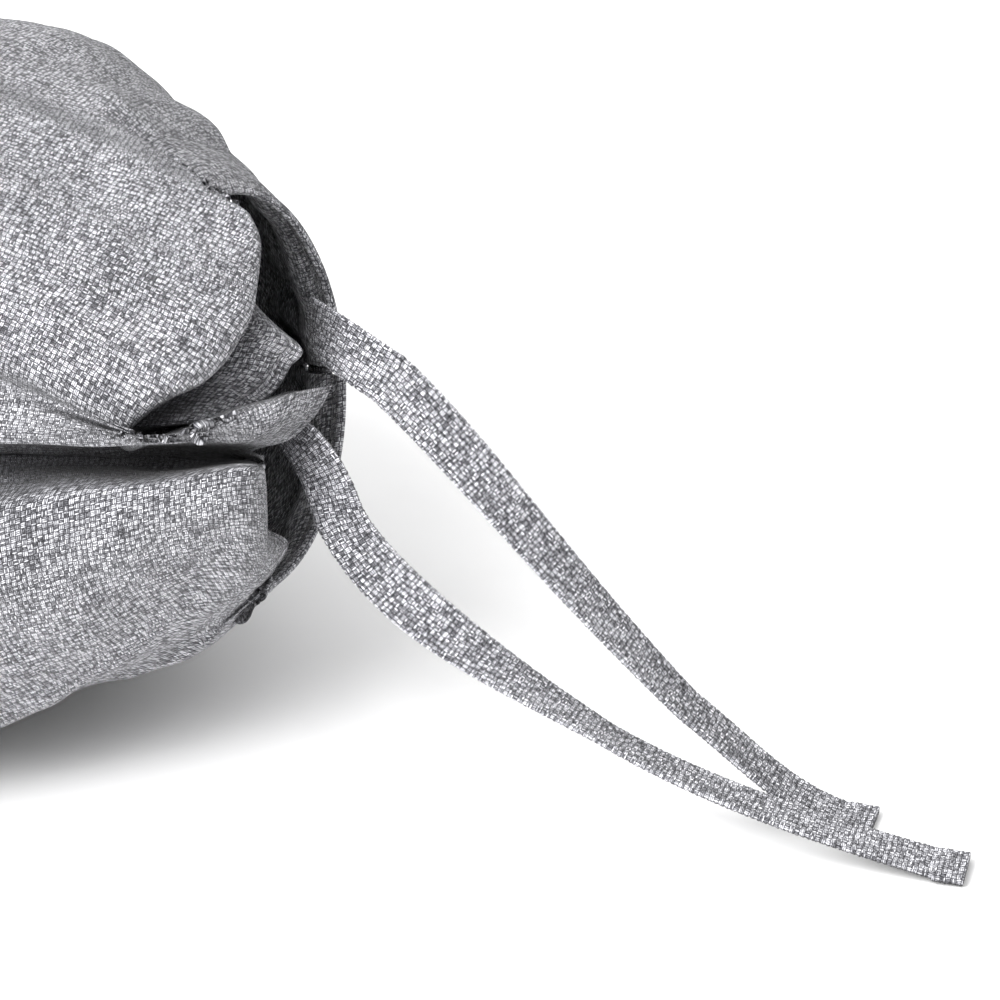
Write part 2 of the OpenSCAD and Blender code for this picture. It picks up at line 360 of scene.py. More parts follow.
def add_wrinkles(grid, angle, from_rim):
    """Presses gathers and soft irregular wrinkles into the surface."""
    normals = grid_normals(grid)
    turn = np.radians(angle)
    uneven = GATHERS * turn + 2.0 * np.sin(3 * turn + 1) + 1.3 * np.sin(7 * turn + 2)
    behind = np.maximum(from_rim - CASING_W, 0)
    on_casing = np.minimum(from_rim / CASING_W, 1)
    from_deepest = np.abs((angle - GATHERS_DEEPEST + 180) % 360 - 180)
    height = 0.8 + (0.5 + 2.0 * (1 - smooth(from_deepest, 50, 85))) * smooth(behind, 0, 12)
    gather = height * np.sin(uneven) * (1 - near_share(angle)) * on_casing * np.exp(-behind / 20)
    wrinkle = 1.1 * soft_noise(grid, 46, SEED) + 0.35 * soft_noise(grid, 17, SEED + 1)
    wrinkle *= smooth(from_rim, 8, 45)
    wrinkle *= 1 - 0.8 * smooth(-grid[..., 2], -8, -2)
    return grid + normals * (gather + wrinkle)[..., None]


def evened_out(values, reach):
    """A running mean down each column, over reach rows to both sides."""
    padded = np.pad(values, ((reach + 1, reach), (0, 0)), mode="edge")
    total = np.cumsum(padded, axis=0)
    return (total[2 * reach + 1 :] - total[: -2 * reach - 1]) / (2 * reach + 1)


def cloth_lengths(grid, angle, along, reference):
    """Texture coordinates in metres: length round the bag from a reference column, and along."""
    steps = np.linalg.norm(np.diff(grid, axis=1), axis=-1)
    around = np.concatenate([np.zeros((len(grid), 1)), np.cumsum(steps, axis=1)], axis=1)
    start = np.argmin(np.abs(angle - reference))
    around = evened_out(around - around[:, start : start + 1], 40)
    return np.stack([around * MM, along * MM], axis=-1)


# ---------------------------------------------------------------- meshes


def make_object(name, points, faces, uv=None):
    """A mesh object from points in millimetres, with one texture coordinate to each point."""
    mesh = bpy.data.meshes.new(name)
    mesh.from_pydata((points * MM).tolist(), [], faces)
    if uv is not None:
        corners = np.empty(len(mesh.loops), np.int32)
        mesh.loops.foreach_get("vertex_index", corners)
        layer = mesh.uv_layers.new(name="cloth")
        layer.data.foreach_set("uv", np.asarray(uv, np.float32)[corners].ravel())
    mesh.polygons.foreach_set("use_smooth", [True] * len(mesh.polygons))
    mesh.update()
    piece = bpy.data.objects.new(name, mesh)
    bpy.context.scene.collection.objects.link(piece)
    return piece


def sheet_faces(rows, columns, first=0, flip=False):
    """Four-sided faces of a grid whose points are numbered row by row from first."""
    corner = first + np.arange(rows - 1)[:, None] * columns + np.arange(columns - 1)[None, :]
    corner = corner.ravel()
    faces = np.stack([corner, corner + columns, corner + columns + 1, corner + 1], axis=1)
    return faces[:, ::-1] if flip else faces


def edge_faces(outer, inner):
    """Faces that join two equal chains of point numbers."""
    outer, inner = np.asarray(outer), np.asarray(inner)
    return np.stack([outer[:-1], outer[1:], inner[1:], inner[:-1]], axis=1)


def cloth_solid(name, outer, inner, uv):
    """A closed piece of cloth between two grids of the same size."""
    rows, columns = outer.shape[:2]
    count = rows * columns
    number = np.arange(count).reshape(rows, columns)
    faces = [
        sheet_faces(rows, columns, flip=True),
        sheet_faces(rows, columns, first=count),
        edge_faces(number[0, ::-1], number[0, ::-1] + count),
        edge_faces(number[-1], number[-1] + count),
        edge_faces(number[:, 0], number[:, 0] + count),
        edge_faces(number[::-1, -1], number[::-1, -1] + count),
    ]
    points = np.concatenate([outer.reshape(-1, 3), inner.reshape(-1, 3)])
    lengths = np.concatenate([uv.reshape(-1, 2)] * 2)
    return make_object(name, points, np.concatenate(faces).tolist(), lengths)


def lofted_solid(name, rings, uv):
    """A closed solid from rings of points, with flat ends. The uv repeats the first point last."""
    count, size = rings.shape[:2]
    closed = np.concatenate([rings, rings[:, :1]], axis=1).reshape(-1, 3)
    sides = sheet_faces(count, size + 1)
    points = np.concatenate([closed, rings[0], rings[-1]])
    start = count * (size + 1)
    caps = [list(range(start, start + size)), list(range(start + 2 * size - 1, start + size - 1, -1))]
    lengths = np.concatenate([uv.reshape(-1, 2), uv[0, :-1], uv[-1, :-1]])
    return make_object(name, points, sides.tolist() + caps, lengths)


# ---------------------------------------------------------------- materials


class Graph:
    """Builds a material's nodes from plain calls, each of which returns its output socket."""

    def __init__(self, name):
        self.material = bpy.data.materials.new(name)
        self.material.use_nodes = True
        self.tree = self.material.node_tree
        self.shader = self.tree.nodes["Principled BSDF"]

    def node(self, kind, inputs, output=0, **settings):
        made = self.tree.nodes.new(kind)
        for key, value in settings.items():
            setattr(made, key, value)
        for key, value in inputs.items():
            self.feed(made.inputs[key], value)
        return made.outputs[output]

    def feed(self, socket, value):
        if isinstance(value, bpy.types.NodeSocket):
            self.tree.links.new(value, socket)
        else:
            socket.default_value = value

    def math(self, operation, first, second=0.0, third=0.0):
        return self.node(
            "ShaderNodeMath", {0: first, 1: second, 2: third}, operation=operation
        )

    def mix(self, share, first, second):
        return self.node("ShaderNodeMix", {0: share, 2: first, 3: second}, data_type="FLOAT")

    def vector(self, x, y, z=0.0):
        return self.node("ShaderNodeCombineXYZ", {0: x, 1: y, 2: z})

    def random(self, vector):
        return self.node("ShaderNodeTexWhiteNoise", {"Vector": vector}, noise_dimensions="3D")

    def noise(self, vector, scale, detail=2.0):
        return self.node(
            "ShaderNodeTexNoise", {"Vector": vector, "Scale": scale, "Detail": detail}
        )

    def ramp(self, value, stops):
        made = self.tree.nodes.new("ShaderNodeValToRGB")
        band = made.color_ramp
        while len(band.elements) < len(stops):
            band.elements.new(0.5)
        for element, (place, colour) in zip(band.elements, stops):
            element.position = place
            element.color = (*colour, 1)
        self.feed(made.inputs[0], value)
        return made.outputs[0]


CELL_ROUND = 1.8
CELL_ALONG = 1.6
STRANDS = 3


def yarn(graph, across, along, lane, cell, salt):
    """The height and the shade of the strands that run one way through a cell."""
    strand = graph.math("MULTIPLY", across, STRANDS)
    inside = graph.math("FRACT", strand)
    centred = graph.math("SUBTRACT", graph.math("MULTIPLY", inside, 2.0), 1.0)
    round_top = graph.math("SUBTRACT", 1.0, graph.math("POWER", graph.math("ABSOLUTE", centred), 2.2))
    end = graph.math("SUBTRACT", graph.math("MULTIPLY", graph.math("FRACT", along), 2.0), 1.0)
    arch = graph.math("SUBTRACT", 1.0, graph.math("POWER", graph.math("ABSOLUTE", end), 2.2))
    height = graph.math("MULTIPLY", round_top, graph.math("MULTIPLY_ADD", arch, 0.88, 0.12))
    number = graph.math("FLOOR", strand)
    own = graph.random(graph.vector(number, cell, salt))
    fibres = graph.noise(
        graph.vector(graph.math("MULTIPLY", strand, 2.3), graph.math("MULTIPLY", along, 1.9), lane),
        1.0,
        3.0,
    )
    shade = graph.math("MULTIPLY_ADD", own, 0.56, graph.math("MULTIPLY", fibres, 1.2))
    return height, graph.math("SUBTRACT", shade, 0.37)


def weave_material(name, light, relief=0.28):
    """Heather basket weave: three strands side by side, going over and under in small squares."""
    graph = Graph(name)
    uv = graph.tree.nodes.new("ShaderNodeUVMap")
    uv.uv_map = "cloth"
    drift = graph.node("ShaderNodeTexNoise", {"Vector": uv.outputs[0], "Scale": 90.0}, output=1)
    moved = graph.node(
        "ShaderNodeVectorMath", {0: drift, 1: (0.0009, 0.0009, 0), 2: uv.outputs[0]},
        operation="MULTIPLY_ADD",
    )
    split = graph.tree.nodes.new("ShaderNodeSeparateXYZ")
    graph.feed(split.inputs[0], moved)
    across = graph.math("DIVIDE", split.outputs[0], CELL_ROUND * MM)
    along = graph.math("DIVIDE", split.outputs[1], CELL_ALONG * MM)
    column = graph.math("FLOOR", across)
    row = graph.math("FLOOR", along)
    parity = graph.math("FLOORED_MODULO", graph.math("ADD", column, row), 2.0)
    warp_h, warp_c = yarn(graph, across, along, 3.0, row, 11.0)
    weft_h, weft_c = yarn(graph, along, across, 8.0, column, 47.0)
    height = graph.mix(parity, warp_h, weft_h)
    shade = graph.mix(parity, warp_c, weft_c)
    patches = graph.noise(uv.outputs[0], 60.0, 3.0)
    shade = graph.math("ADD", shade, graph.math("MULTIPLY_ADD", patches, 0.3, -0.15))
    tone = [tuple(c * light for c in colour) for colour in (
        (0.03, 0.03, 0.035), (0.13, 0.13, 0.144), (0.43, 0.43, 0.457), (0.9, 0.9, 0.94),
    )]
    colour = graph.ramp(shade, list(zip((0.08, 0.3, 0.55, 0.85), tone)))
    # Painted shade: the colour darkens to near black where the strands sink, in the gaps between them
    # and at the ends of their floats
    painted_gap_shade = graph.ramp(height, [(0.1, (0.02, 0.02, 0.03)), (0.8, (1, 1, 1))])
    # Painted shade: ambient occlusion darkens the colour in the hollows, folds and creases of the
    # cloth and where it nears the floor
    open_air = graph.node("ShaderNodeAmbientOcclusion", {"Distance": 0.045}, output=1, samples=4)
    painted_hollow_shade = graph.ramp(
        open_air, [(0.15, (0.03, 0.03, 0.04)), (0.42, (0.35, 0.35, 0.37)), (0.72, (1, 1, 1))]
    )
    for shadow in (painted_gap_shade, painted_hollow_shade):
        colour = graph.node(
            "ShaderNodeMix", {0: 1.0, 6: colour, 7: shadow}, output=2,
            data_type="RGBA", blend_type="MULTIPLY",
        )
    fuzz = graph.noise(uv.outputs[0], 4200.0, 1.0)
    raised = graph.math("MULTIPLY_ADD", fuzz, 0.35, height)
    relief_node = graph.tree.nodes.new("ShaderNodeBump")
    relief_node.inputs["Distance"].default_value = relief * MM
    relief_node.inputs["Strength"].default_value = 1.0
    graph.feed(relief_node.inputs["Height"], raised)
    graph.feed(graph.shader.inputs["Base Color"], colour)
    graph.feed(graph.shader.inputs["Normal"], relief_node.outputs[0])
    graph.feed(graph.shader.inputs["Roughness"], graph.math("MULTIPLY_ADD", fuzz, 0.2, 0.75))
    graph.shader.inputs["Specular IOR Level"].default_value = 0.25
    graph.shader.inputs["Sheen Weight"].default_value = 0.15
    graph.shader.inputs["Sheen Roughness"].default_value = 0.5
    return graph.material


def thread_material(name, shade):
    """Twisted sewing thread: fine slanting bands with a slight shine."""
    graph = Graph(name)
    coordinates = graph.tree.nodes.new("ShaderNodeTexCoord").outputs["Object"]
    twist = graph.node(
        "ShaderNodeTexWave", {"Vector": coordinates, "Scale": 900.0, "Distortion": 1.5},
        output=1, bands_direction="DIAGONAL",
    )
    colour = graph.ramp(twist, [
        (0.2, (shade * 0.45, shade * 0.45, shade * 0.48)),
        (0.8, (shade, shade, shade * 1.04)),
    ])
    graph.feed(graph.shader.inputs["Base Color"], colour)
    relief_node = graph.tree.nodes.new("ShaderNodeBump")
    relief_node.inputs["Distance"].default_value = 0.05 * MM
    graph.feed(relief_node.inputs["Height"], twist)
    graph.feed(graph.shader.inputs["Normal"], relief_node.outputs[0])
    graph.shader.inputs["Roughness"].default_value = 0.45
    return graph.material


def floor_material(name):
    graph = Graph(name)
    coordinates = graph.tree.nodes.new("ShaderNodeTexCoord").outputs["Object"]
    grain = graph.noise(coordinates, 40.0, 3.0)
    colour = graph.ramp(grain, [(0.3, (0.93, 0.93, 0.93)), (0.7, (0.95, 0.95, 0.95))])
    graph.feed(graph.shader.inputs["Base Color"], colour)
    graph.shader.inputs["Roughness"].default_value = 0.7
    return graph.material


BAG_CLOTH = weave_material("bag_cloth", 1.0)
HEM_CLOTH = weave_material("hem_cloth", 0.96)
TIE_CLOTH = weave_material("tie_cloth", 1.0, relief=0.12)
# A copy of the weave at 0.6 of its brightness: painted shade for the seam pieces inside the bag, also
# used for the base binding
SHADED_INSIDE_CLOTH = weave_material("shaded_inside_cloth", 0.6)
THREAD = thread_material("sewing_thread", 0.32)


def dress(piece, material, slot, *nodes):
    """Gives a piece its material and hides the CAD nodes that it stands for; the slot is not used."""
    piece.data.materials.append(material)
    if nodes:
        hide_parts(*nodes)
    return piece


# ---------------------------------------------------------------- the bag


def bag_angles():
    """Angles of the columns, closer together where the cloth is folded."""
    near = np.arange(NEAR_FROM - 4, NEAR_TO + 4, 0.4)
    folds = np.arange(FOLDS_FROM, FOLDS_TO, 0.15)
    far = np.arange(NEAR_TO + 4, 360 + NEAR_FROM - 4, 1.0)
    near = near[(near < FOLDS_FROM - 0.1) | (near > FOLDS_TO)]
    joined = np.concatenate([near, folds, far])
    joined = np.where(joined > 360 + FAR_SEAM, joined - 360, joined)
    both_seams = np.array([FAR_SEAM, NEAR_SEAM])
    return np.unique(np.round(np.concatenate([joined, both_seams]), 3))


WALL_ROWS = 250
CASING_ROWS = 40
ANGLE = bag_angles()
GRID, FROM_RIM = resample(along_columns(columns_to_rim(ANGLE), 12), WALL_ROWS, CASING_ROWS)
GRID = add_wrinkles(GRID, ANGLE, FROM_RIM)
NORMAL = grid_normals(GRID)


def part_of_bag(start, end):
    """Column numbers between two angles, going up round the bag and wrapping past 360."""
    order = np.arange(len(ANGLE))
    turned = np.where(ANGLE < start - 1e-6, ANGLE + 360, ANGLE)
    chosen = order[(turned >= start - 1e-6) & (turned <= end + 1e-6)]
    return chosen[np.argsort(turned[chosen])], np.sort(turned[chosen])


def make_panel(name, start, end, reference, node):
    """One panel of the wall, from the base to the casing, its edges turned in at the seams."""
    columns, angle = part_of_bag(start, end)
    outer = GRID[:WALL_ROWS, columns]
    normal = NORMAL[:WALL_ROWS, columns]
    from_edge = np.minimum(np.arange(len(columns)), np.arange(len(columns))[::-1])
    tuck = 1.6 * np.exp(-from_edge * 0.9)
    outer = outer - normal * tuck[None, :, None]
    inner = outer - normal * WALL_T
    from_base = FROM_RIM[0, columns] - FROM_RIM[:WALL_ROWS, columns]
    uv = cloth_lengths(outer, angle, from_base, reference)
    panel = dress(cloth_solid(name, outer, inner, uv), BAG_CLOTH, "bag_fabric", node)
    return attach(panel, "bag")


def hem_depths(width, near):
    """How deep the inner layer of the casing lies below the outer one, at widths from the edge."""
    layers = 2.9 - 0.8 * near
    puff = 2.6 * (1 - near)
    tunnel = puff * bump(width, 14.6, 8.0) * smooth(width, 4.6, 8) * (1 - smooth(width, 21, 24))
    stitched = 0.8 * (bump(width, EDGE_STITCHES, 0.8) + bump(width, TUNNEL_STITCHES, 0.9))
    crease = 0.5 * bump(width, HEM_CREASE, 0.5)
    return layers + tunnel - stitched - crease


def make_casing(name, start, end, reference, node):
    """The hem round one part of the mouth: the wall's cloth folded inwards over the tie."""
    columns, angle = part_of_bag(start, end)
    outer = GRID[WALL_ROWS - 1 :, columns]
    normal = NORMAL[WALL_ROWS - 1 :, columns]
    width = FROM_RIM[WALL_ROWS - 1 :, columns]
    groove = 0.5 * bump(width, EDGE_STITCHES, 0.7)
    groove += 0.15 * (bump(width, TUNNEL_STITCHES, 0.8) + bump(width, HEM_CREASE, 0.5))
    outer = outer - normal * groove[..., None]
    depth = hem_depths(width, near_share(angle))
    under = outer - normal * HEM_CLOTH_T
    inner = outer - normal * depth[..., None]
    over = outer - normal * np.maximum(depth - HEM_CLOTH_T, HEM_CLOTH_T + 0.05)[..., None]
    towards_mouth = unit(outer[-1] - outer[-2])
    turns = np.radians([30, 60, 90, 120, 150])
    edge_radius = depth[-1] / 2
    edge_length = math.pi * edge_radius.mean()
    middle = outer[-1] - normal[-1] * edge_radius[:, None]
    edge = [
        middle + (normal[-1] * math.cos(t) + towards_mouth * math.sin(t)) * edge_radius[:, None]
        for t in turns
    ]
    ring = np.concatenate([outer, edge, inner[::-1], over, under[::-1]])
    edge_back = -turns[:, None] / math.pi * edge_length * np.ones_like(width[-1])
    back = np.concatenate([width, edge_back, -width[::-1] - edge_length, -width, width[::-1]])
    steps = np.linalg.norm(np.diff(ring, axis=1), axis=-1)
    near = near_share(angle)[1:]
    steps = near * steps + (1 - near) * steps.mean(axis=0)
    around = np.concatenate([np.zeros((len(ring), 1)), np.cumsum(steps, axis=1)], axis=1)
    start = np.argmin(np.abs(angle - reference))
    around -= around[:, start : start + 1]
    lengths = np.stack([around, back], axis=-1) * MM
    rings = np.swapaxes(ring, 0, 1)
    uv = np.swapaxes(np.concatenate([lengths, lengths[:1]]), 0, 1)
    casing = dress(lofted_solid(name, rings, uv), HEM_CLOTH, "casing_fabric", node)
    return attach(casing, "bag")


# Each piece's weave starts at the angle given after its ends
make_panel("front_panel_cloth", FAR_SEAM, NEAR_SEAM, 125, "front_panel")
make_panel("back_panel_cloth", NEAR_SEAM, FAR_SEAM + 360, 190, "back_panel")
make_casing("upper_hem", FAR_SEAM + 0.5, NEAR_SEAM, 150, "upper_casing")
make_casing("lower_hem", NEAR_SEAM, FAR_SEAM + 359.5, 215, "lower_casing")


def make_base_panel():
    """The crowned oval cloth that closes the bag's end, its rim turned in to the seam."""
    columns, _ = part_of_bag(FAR_SEAM, FAR_SEAM + ONE_TURN)
    rim = GRID[0, columns] - NORMAL[0, columns] * 1.2
    rim = np.concatenate([rim, rim[:1]])
    centre = np.array([BASE_X, 0, BODY_Z])
    shares = np.linspace(0.004, 1, 60)
    crown = BASE_CROWN * (1 - shares**2) + 1.5 * smooth(shares, 0.9, 0.97)
    outer = centre + (rim - centre)[None] * shares[:, None, None]
    outer[..., 0] -= crown[:, None]
    outer[..., 0] += 1.2 * soft_noise(outer, 50, SEED + 3) * (1 - shares**6)[:, None]
    inner = outer + np.array([WALL_T, 0, 0])
    uv = (outer[..., 1:] - centre[1:]) * MM
    panel = cloth_solid("base_panel_cloth", outer, inner, uv)
    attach(dress(panel, BAG_CLOTH, "bag_fabric", "base_panel"), "bag")


def tube(points, radius, sides=8, closed=False):
    """Rings of points round a path."""
    ahead = np.roll(points, -1, axis=0) - np.roll(points, 1, axis=0)
    if not closed:
        ahead[0], ahead[-1] = points[1] - points[0], points[-1] - points[-2]
    ahead = unit(ahead)
    side = unit(np.cross(ahead, np.array([0.31, 0.2, 0.93])))
    other = np.cross(ahead, side)
    turns = np.arange(sides) * 2 * math.pi / sides
    radius = np.broadcast_to(np.asarray(radius, float).reshape(-1, 1), (len(points), sides))
    return points[:, None] + radius[..., None] * (
        np.cos(turns)[None, :, None] * side[:, None] + np.sin(turns)[None, :, None] * other[:, None]
    )


def make_base_binding():
    """The bound seam between the base and the wall, which stands out as a soft roll."""
    columns, _ = part_of_bag(FAR_SEAM, FAR_SEAM + ONE_TURN)
    path = GRID[1, columns] - NORMAL[1, columns] * 0.4
    path = np.concatenate([path, path[:1]])
    rings = tube(path, 1.9, sides=12)
    steps = np.linalg.norm(np.diff(path, axis=0), axis=-1)
    along = np.concatenate([[0], np.cumsum(steps)])
    around = np.arange(13) * 1.0
    uv = np.stack(np.broadcast_arrays(around[None, :], along[:, None]), axis=-1) * MM
    binding = lofted_solid("base_binding", rings[:, ::-1], uv[:, ::-1])
    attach(dress(binding, SHADED_INSIDE_CLOTH, "seam_fabric", "base_seam"), "bag")


def make_seam_allowance(name, angle, node):
    """The turned-in edges of the two panels, standing inwards along a side seam."""
    column = np.argmin(np.abs(ANGLE - angle))
    rows = slice(14, WALL_ROWS - 4, 3)
    wall = GRID[rows, column]
    inward = -NORMAL[rows, column]
    beside = unit(np.cross(inward, np.gradient(wall, axis=0)))
    depths = np.array([2.2, 5.0, 9.5])
    flare = np.array([0.6, 0.8, 1.3])
    points = []
    for side in (-1, 1):
        order = slice(None) if side < 0 else slice(None, None, -1)
        for depth, half in zip(depths[order], flare[order]):
            points.append(wall + inward * depth + beside * half * side)
    rings = np.stack(points, axis=1)
    back = FROM_RIM[rows, column]
    across = np.concatenate([depths, depths[::-1] + 20, depths[:1]])
    uv = np.stack(np.broadcast_arrays(across[None, :], back[:, None]), axis=-1) * MM
    strip = lofted_solid(name, rings, uv)
    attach(dress(strip, SHADED_INSIDE_CLOTH, "seam_fabric", node), "bag")


def dashes(path, ups, length, gap, radius):
    """Rings for separate stitches that lie along a path, each a short rounded bead."""
    steps = np.linalg.norm(np.diff(path, axis=0), axis=-1)
    travelled = np.concatenate([[0], np.cumsum(steps)])
    beads = []
    shares = np.linspace(0, 1, 6)
    swell = radius * np.array([0.25, 0.85, 1, 1, 0.85, 0.25])
    dip = radius * np.array([-1.6, -0.3, 0, 0, -0.3, -1.6])
    for start in np.arange(1, travelled[-1] - length, length + gap):
        at = start + shares * length
        line = np.stack([np.interp(at, travelled, path[:, axis]) for axis in range(3)], axis=1)
        up = np.stack([np.interp(at, travelled, ups[:, axis]) for axis in range(3)], axis=1)
        beads.append(tube(line + unit(up) * dip[:, None], swell, sides=6))
    return beads


def bead_object(name, beads, material, slot, *nodes):
    """One piece from many small lofted beads."""
    points, faces = [], []
    for rings in beads:
        count, size = rings.shape[:2]
        first = sum(len(p) for p in points)
        points.append(rings.reshape(-1, 3))
        number = first + np.arange(count * size).reshape(count, size)
        number = np.concatenate([number, number[:, :1]], axis=1)
        for a, b in zip(number[:-1], number[1:]):
            faces += edge_faces(a, b).tolist()
        faces.append(number[0, :-1].tolist()[::-1])
        faces.append(number[-1, :-1].tolist())
    return dress(make_object(name, np.concatenate(points), faces), material, slot, *nodes)


def row_across(width):
    """The number of the grid row nearest a width back from the mouth's edge."""
    return int(np.argmin(np.abs(FROM_RIM[:, 0] - width)))


def make_hem_stitches():
    """Two rows of stitching on both sides of the casing, left out in the folds at the near seam."""
    columns, angle = part_of_bag(FAR_SEAM, FAR_SEAM + ONE_TURN)
    for name, width, node in (
        ("edge_stitches", EDGE_STITCHES, "casing_edge_thread"),
        ("tunnel_stitches", TUNNEL_STITCHES, "casing_seam_thread"),
    ):
        row = row_across(width)
        wall = GRID[row, columns]
        normal = NORMAL[row, columns]
        depth = hem_depths(np.array(width), near_share(angle))[:, None]
        outside = (wall - normal * 0.35, normal)
        inside = (wall - normal * (depth + 0.45), -normal)
        beads = []
        for part in (angle < NEAR_SEAM - 40, angle > NEAR_SEAM + 40):
            for line, up in (outside, inside):
                beads += dashes(line[part], up[part], STITCH_L, STITCH_GAP, STITCH_R)
        stitches = bead_object(name, beads, THREAD, "thread", node)
        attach(stitches, "bag")


def make_bartacks():
    """Dense stitching inside the hem, beside each end of the opening that the tie leaves through."""
    beads = []
    for angle in (118.0, 226.0):
        column = np.argmin(np.abs(ANGLE - angle))
        rows = np.arange(row_across(20), row_across(7), 1)
        for row in rows:
            line = GRID[row, column - 2 : column + 3]
            normal = NORMAL[row, column - 2 : column + 3]
            beads.append(tube(line - normal * 2.2, 0.3, sides=5))
    tacks = bead_object("opening_bartack_stitches", beads, THREAD, "thread", "opening_bartacks")
    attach(tacks, "bag")


def make_seam_stitches():
    """The stitching along the turned-in edges inside the bag."""
    beads = []
    for angle in (FAR_SEAM, NEAR_SEAM):
        column = np.argmin(np.abs(ANGLE - angle))
        rows = slice(16, WALL_ROWS - 6)
        wall, inward = GRID[rows, column], -NORMAL[rows, column]
        beside = unit(np.cross(inward, np.gradient(wall, axis=0)))
        line = wall + inward * 5.5 + beside * 1.0
        beads += dashes(line, beside, 2.8, 1.0, 0.3)
    stitches = bead_object("side_seam_stitches", beads, THREAD, "thread", "side_seam_threads")
    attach(stitches, "bag")


make_base_panel()
make_base_binding()
make_seam_allowance("near_seam_allowance", NEAR_SEAM, "near_side_seam")
make_seam_allowance("far_seam_allowance", FAR_SEAM, "far_side_seam")
make_seam_stitches()
make_hem_stitches()
make_bartacks()

# ---------------------------------------------------------------- the tie


def bezier(path, t):
    a, b, c, d = (np.asarray(p, float) for p in path)
    t = t[:, None]
    return (1 - t) ** 3 * a + 3 * (1 - t) ** 2 * t * b + 3 * (1 - t) * t * t * c + t**3 * d


def weave_relief(across, along):
    """Height of the basket weave, 0 to 1, at lengths of cloth in millimetres."""
    x, y = across / CELL_ROUND, along / CELL_ALONG
    warp = (np.floor(x) + np.floor(y)) % 2 < 0.5
    side = np.where(warp, x, y) * STRANDS % 1 * 2 - 1
    end = np.where(warp, y, x) % 1 * 2 - 1
    return (1 - np.abs(side) ** 2.4) * (0.3 + 0.7 * (1 - end**4))


def flat_tie(name, middle, wide, half_w, half_t, mesh_step):
    """A flat folded band along a path, with its weave standing up from both faces."""
    along = unit(np.gradient(middle, axis=0))
    wide = unit(wide - along * (wide * along).sum(axis=1, keepdims=True))
    up = np.cross(along, wide)
    travelled = np.concatenate([[0], np.cumsum(np.linalg.norm(np.diff(middle, axis=0), axis=1))])
    flat = half_w - half_t
    perimeter = 4 * flat + 2 * math.pi * half_t
    place = np.linspace(0, perimeter, int(perimeter / mesh_step) + 1)
    turn = math.pi * half_t
    a, b, n_a, n_b = (np.zeros_like(place) for _ in range(4))
    for start, x_from, side in ((0, -flat, 1), (2 * flat + turn, flat, -1)):
        on_face = (place >= start) & (place <= start + 2 * flat)
        a[on_face] = x_from + side * (place[on_face] - start)
        b[on_face], n_b[on_face] = side * half_t, side
        on_edge = (place > start + 2 * flat) & (place < start + 2 * flat + turn)
        angle = (place[on_edge] - start - 2 * flat) / half_t
        n_a[on_edge], n_b[on_edge] = side * np.sin(angle), side * np.cos(angle)
        a[on_edge] = side * flat + n_a[on_edge] * half_t
        b[on_edge] = n_b[on_edge] * half_t
    n_b[-1], b[-1], a[-1] = 1, half_t, -flat
    lift = 0.5 * weave_relief(place[None, :], travelled[:, None]) - 0.3
    a = a[None, :] + n_a[None, :] * lift
    b = b[None, :] + n_b[None, :] * lift
    rings = middle[:, None] + wide[:, None] * a[..., None] + up[:, None] * b[..., None]
    uv = np.stack(np.broadcast_arrays(place[None, :], travelled[:, None]), axis=-1) * MM
    return lofted_solid(name, rings[:, :-1], uv)


def even_path(points, step):
    """Points at even steps along a path, with the width directions that go with them."""
    travelled = np.concatenate(
        [[0], np.cumsum(np.linalg.norm(np.diff(points[:, :3], axis=0), axis=1))]
    )
    at = np.arange(0, travelled[-1], step)
    return np.stack([np.interp(at, travelled, points[:, axis]) for axis in range(6)], axis=1)


def tail_line(spans, widths, step):
    """The tie's middle line and width direction through several curves, evenly spaced."""
    t = np.linspace(0, 1, 60)
    rows = []
    for path, (wide_from, wide_to) in zip(spans, widths):
        line = bezier(path, t)
        wide = np.asarray(wide_from, float) + (np.subtract(wide_to, wide_from)) * t[:, None]
        rows.append(np.concatenate([line, wide], axis=1)[:-1])
    rows.append(np.concatenate([line, wide], axis=1)[-1:])
    return even_path(np.concatenate(rows), step)


def make_tail(side, spans, widths, root, middle, end, joints, nodes):
    """One free tail of the tie: two pieces, split half-way between its joints, and the hem at its
    end.
    """
    line = tail_line(spans, widths, TIE_STEP)
    near_joint, far_joint = (joint_place(name) for name in joints)
    half_way = (near_joint + far_joint) / 2
    split = int(np.argmin(np.linalg.norm(line[:, :3] - half_way, axis=1)))
    upper, lower = line[: split + 1], line[split:]
    for name, part, bodies, place, own in (
        (side + "_tail_at_mouth", upper, (root, middle), near_joint, nodes[:2]),
        (side + "_tail_to_end", lower, (middle, end), far_joint, nodes[2:3]),
    ):
        band = flat_tie(name, part[:, :3], part[:, 3:], TIE_W / 2, TIE_T / 2, TIE_STEP)
        dress(band, TIE_CLOTH, "tie_fabric", *own)
        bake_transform(band)
    make_tail_hem(side, line, end, nodes[3])


def make_tail_hem(side, line, body, node):
    """The turned-under end of a tail, a little wider and thicker than the tie."""
    tip = line[-1, :3]
    ahead = unit(line[-1, :3] - line[-4, :3])
    ahead[2] *= 0.3
    length = 8.5
    at = np.arange(-1.5, length, TIE_STEP)
    middle = tip + unit(ahead) * at[:, None]
    wide = np.broadcast_to(line[-1, 3:], middle.shape)
    half_w, half_t = TIE_W / 2 + 0.35, TIE_T / 2 + 0.5
    band = flat_tie(side + "_tail_hem_fold", middle, wide, half_w, half_t, TIE_STEP)
    dress(band, TIE_CLOTH, "tie_fabric", node)
    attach(band, body)


UPPER_IN = np.array([238, 24, 135])
UPPER_EXIT = np.array([270, 5, 131])
UPPER_MID = np.array([364, 10, 34])
UPPER_TIP = np.array([414, 15, 1.8])
LOWER_IN = np.array([222, -6, 118])
LOWER_EXIT = np.array([260, -12, 91.5])
LOWER_MID = np.array([346, -14, 33.5])
LOWER_TIP = np.array([449, -3, 2.4])
FLAT_ON_FLOOR = (-0.1, 1, 0.03)

